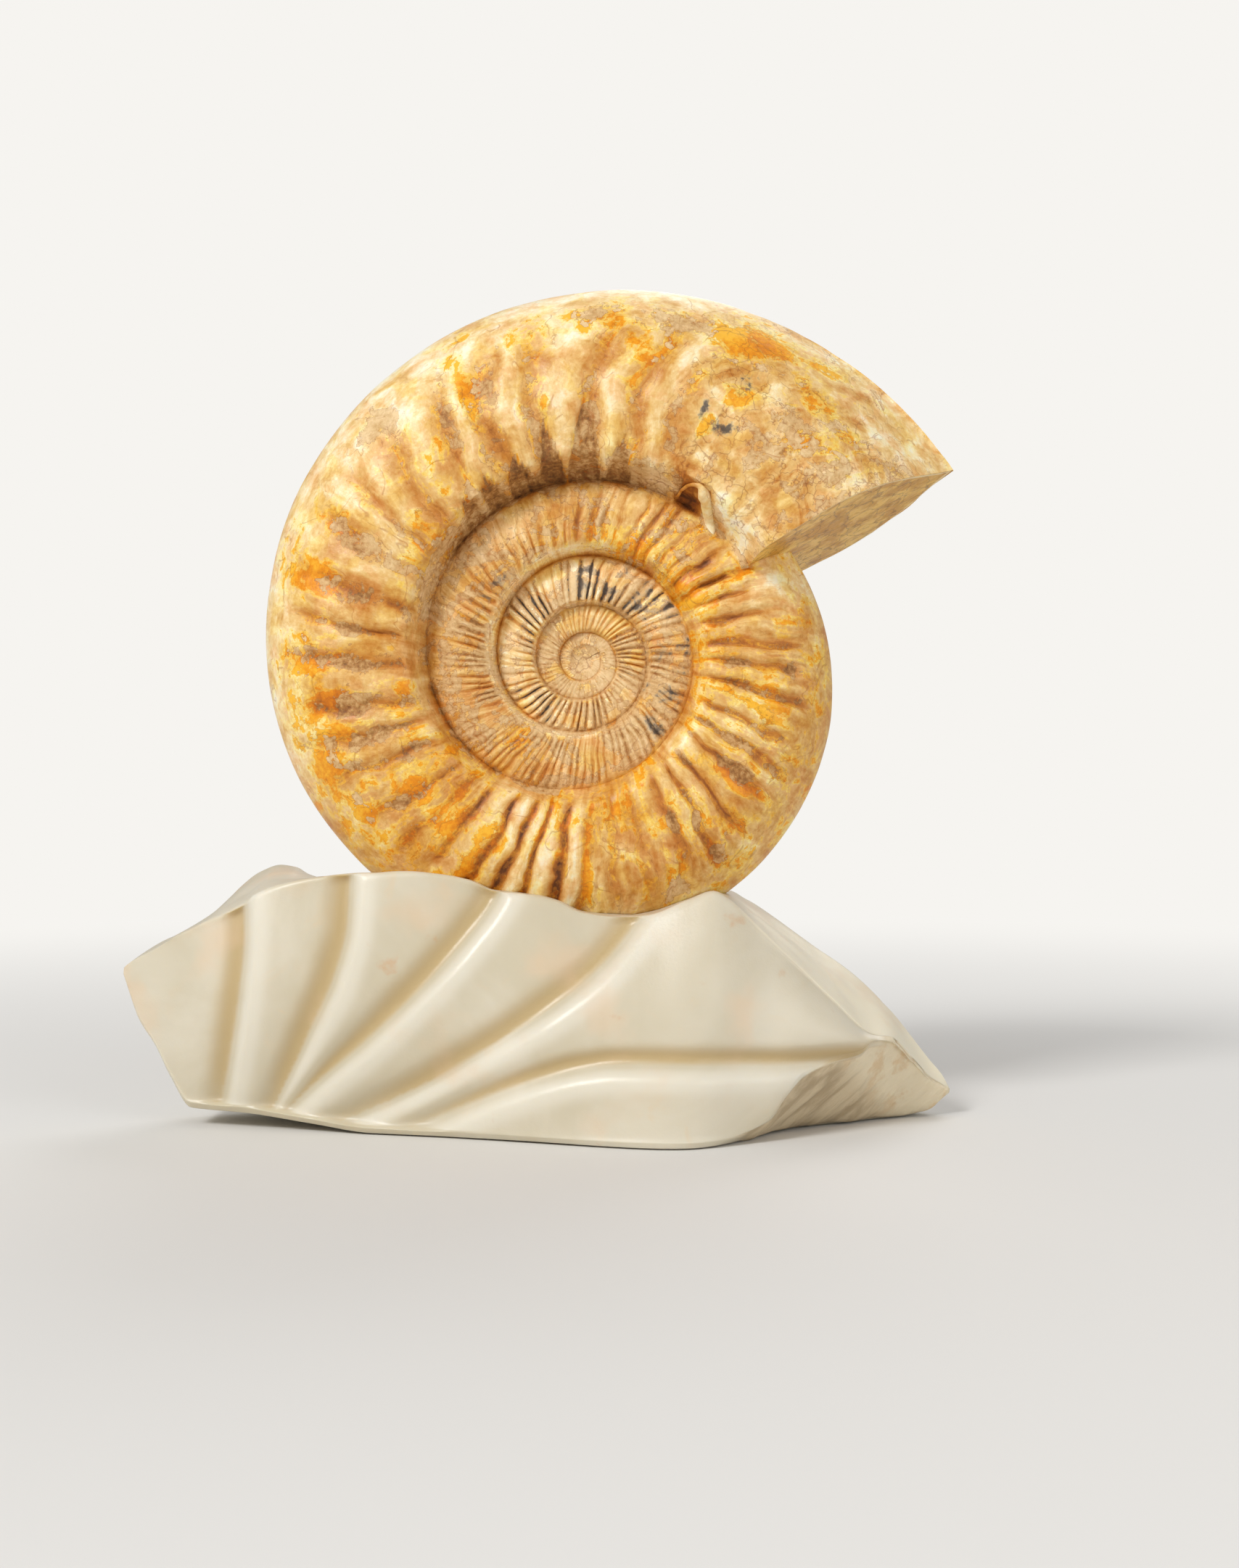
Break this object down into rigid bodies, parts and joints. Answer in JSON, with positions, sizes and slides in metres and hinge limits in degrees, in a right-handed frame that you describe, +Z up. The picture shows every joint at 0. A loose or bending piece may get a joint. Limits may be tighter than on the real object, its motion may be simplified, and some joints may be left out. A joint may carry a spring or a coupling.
{
  "type": "ammonite fossil on a stone base",
  "caption": "Large ribbed ammonite fossil standing upright in the top of a fluted, polished pale stone base with one rough broken corner.",
  "frame": {"origin": "on the base's flat underside, below the axis of the shell's coil and in its median plane", "axes": "+Z up; -Y is the front, which shows one flank of the shell and the fluted face of the base; +X to the right as seen from the front, towards the shell's mouth"},
  "size_m": [0.296, 0.1064, 0.2954],
  "materials": {
    "fossil_calcite": "satin polish, honey and cream calcite with brown grooves",
    "polished_marble": "polished ivory stone, rough only on the broken corner"
  },
  "bodies": {
    "root": {"ammonite": "fossil_calcite", "stone_base": "polished_marble"}
  },
  "joints": []
}
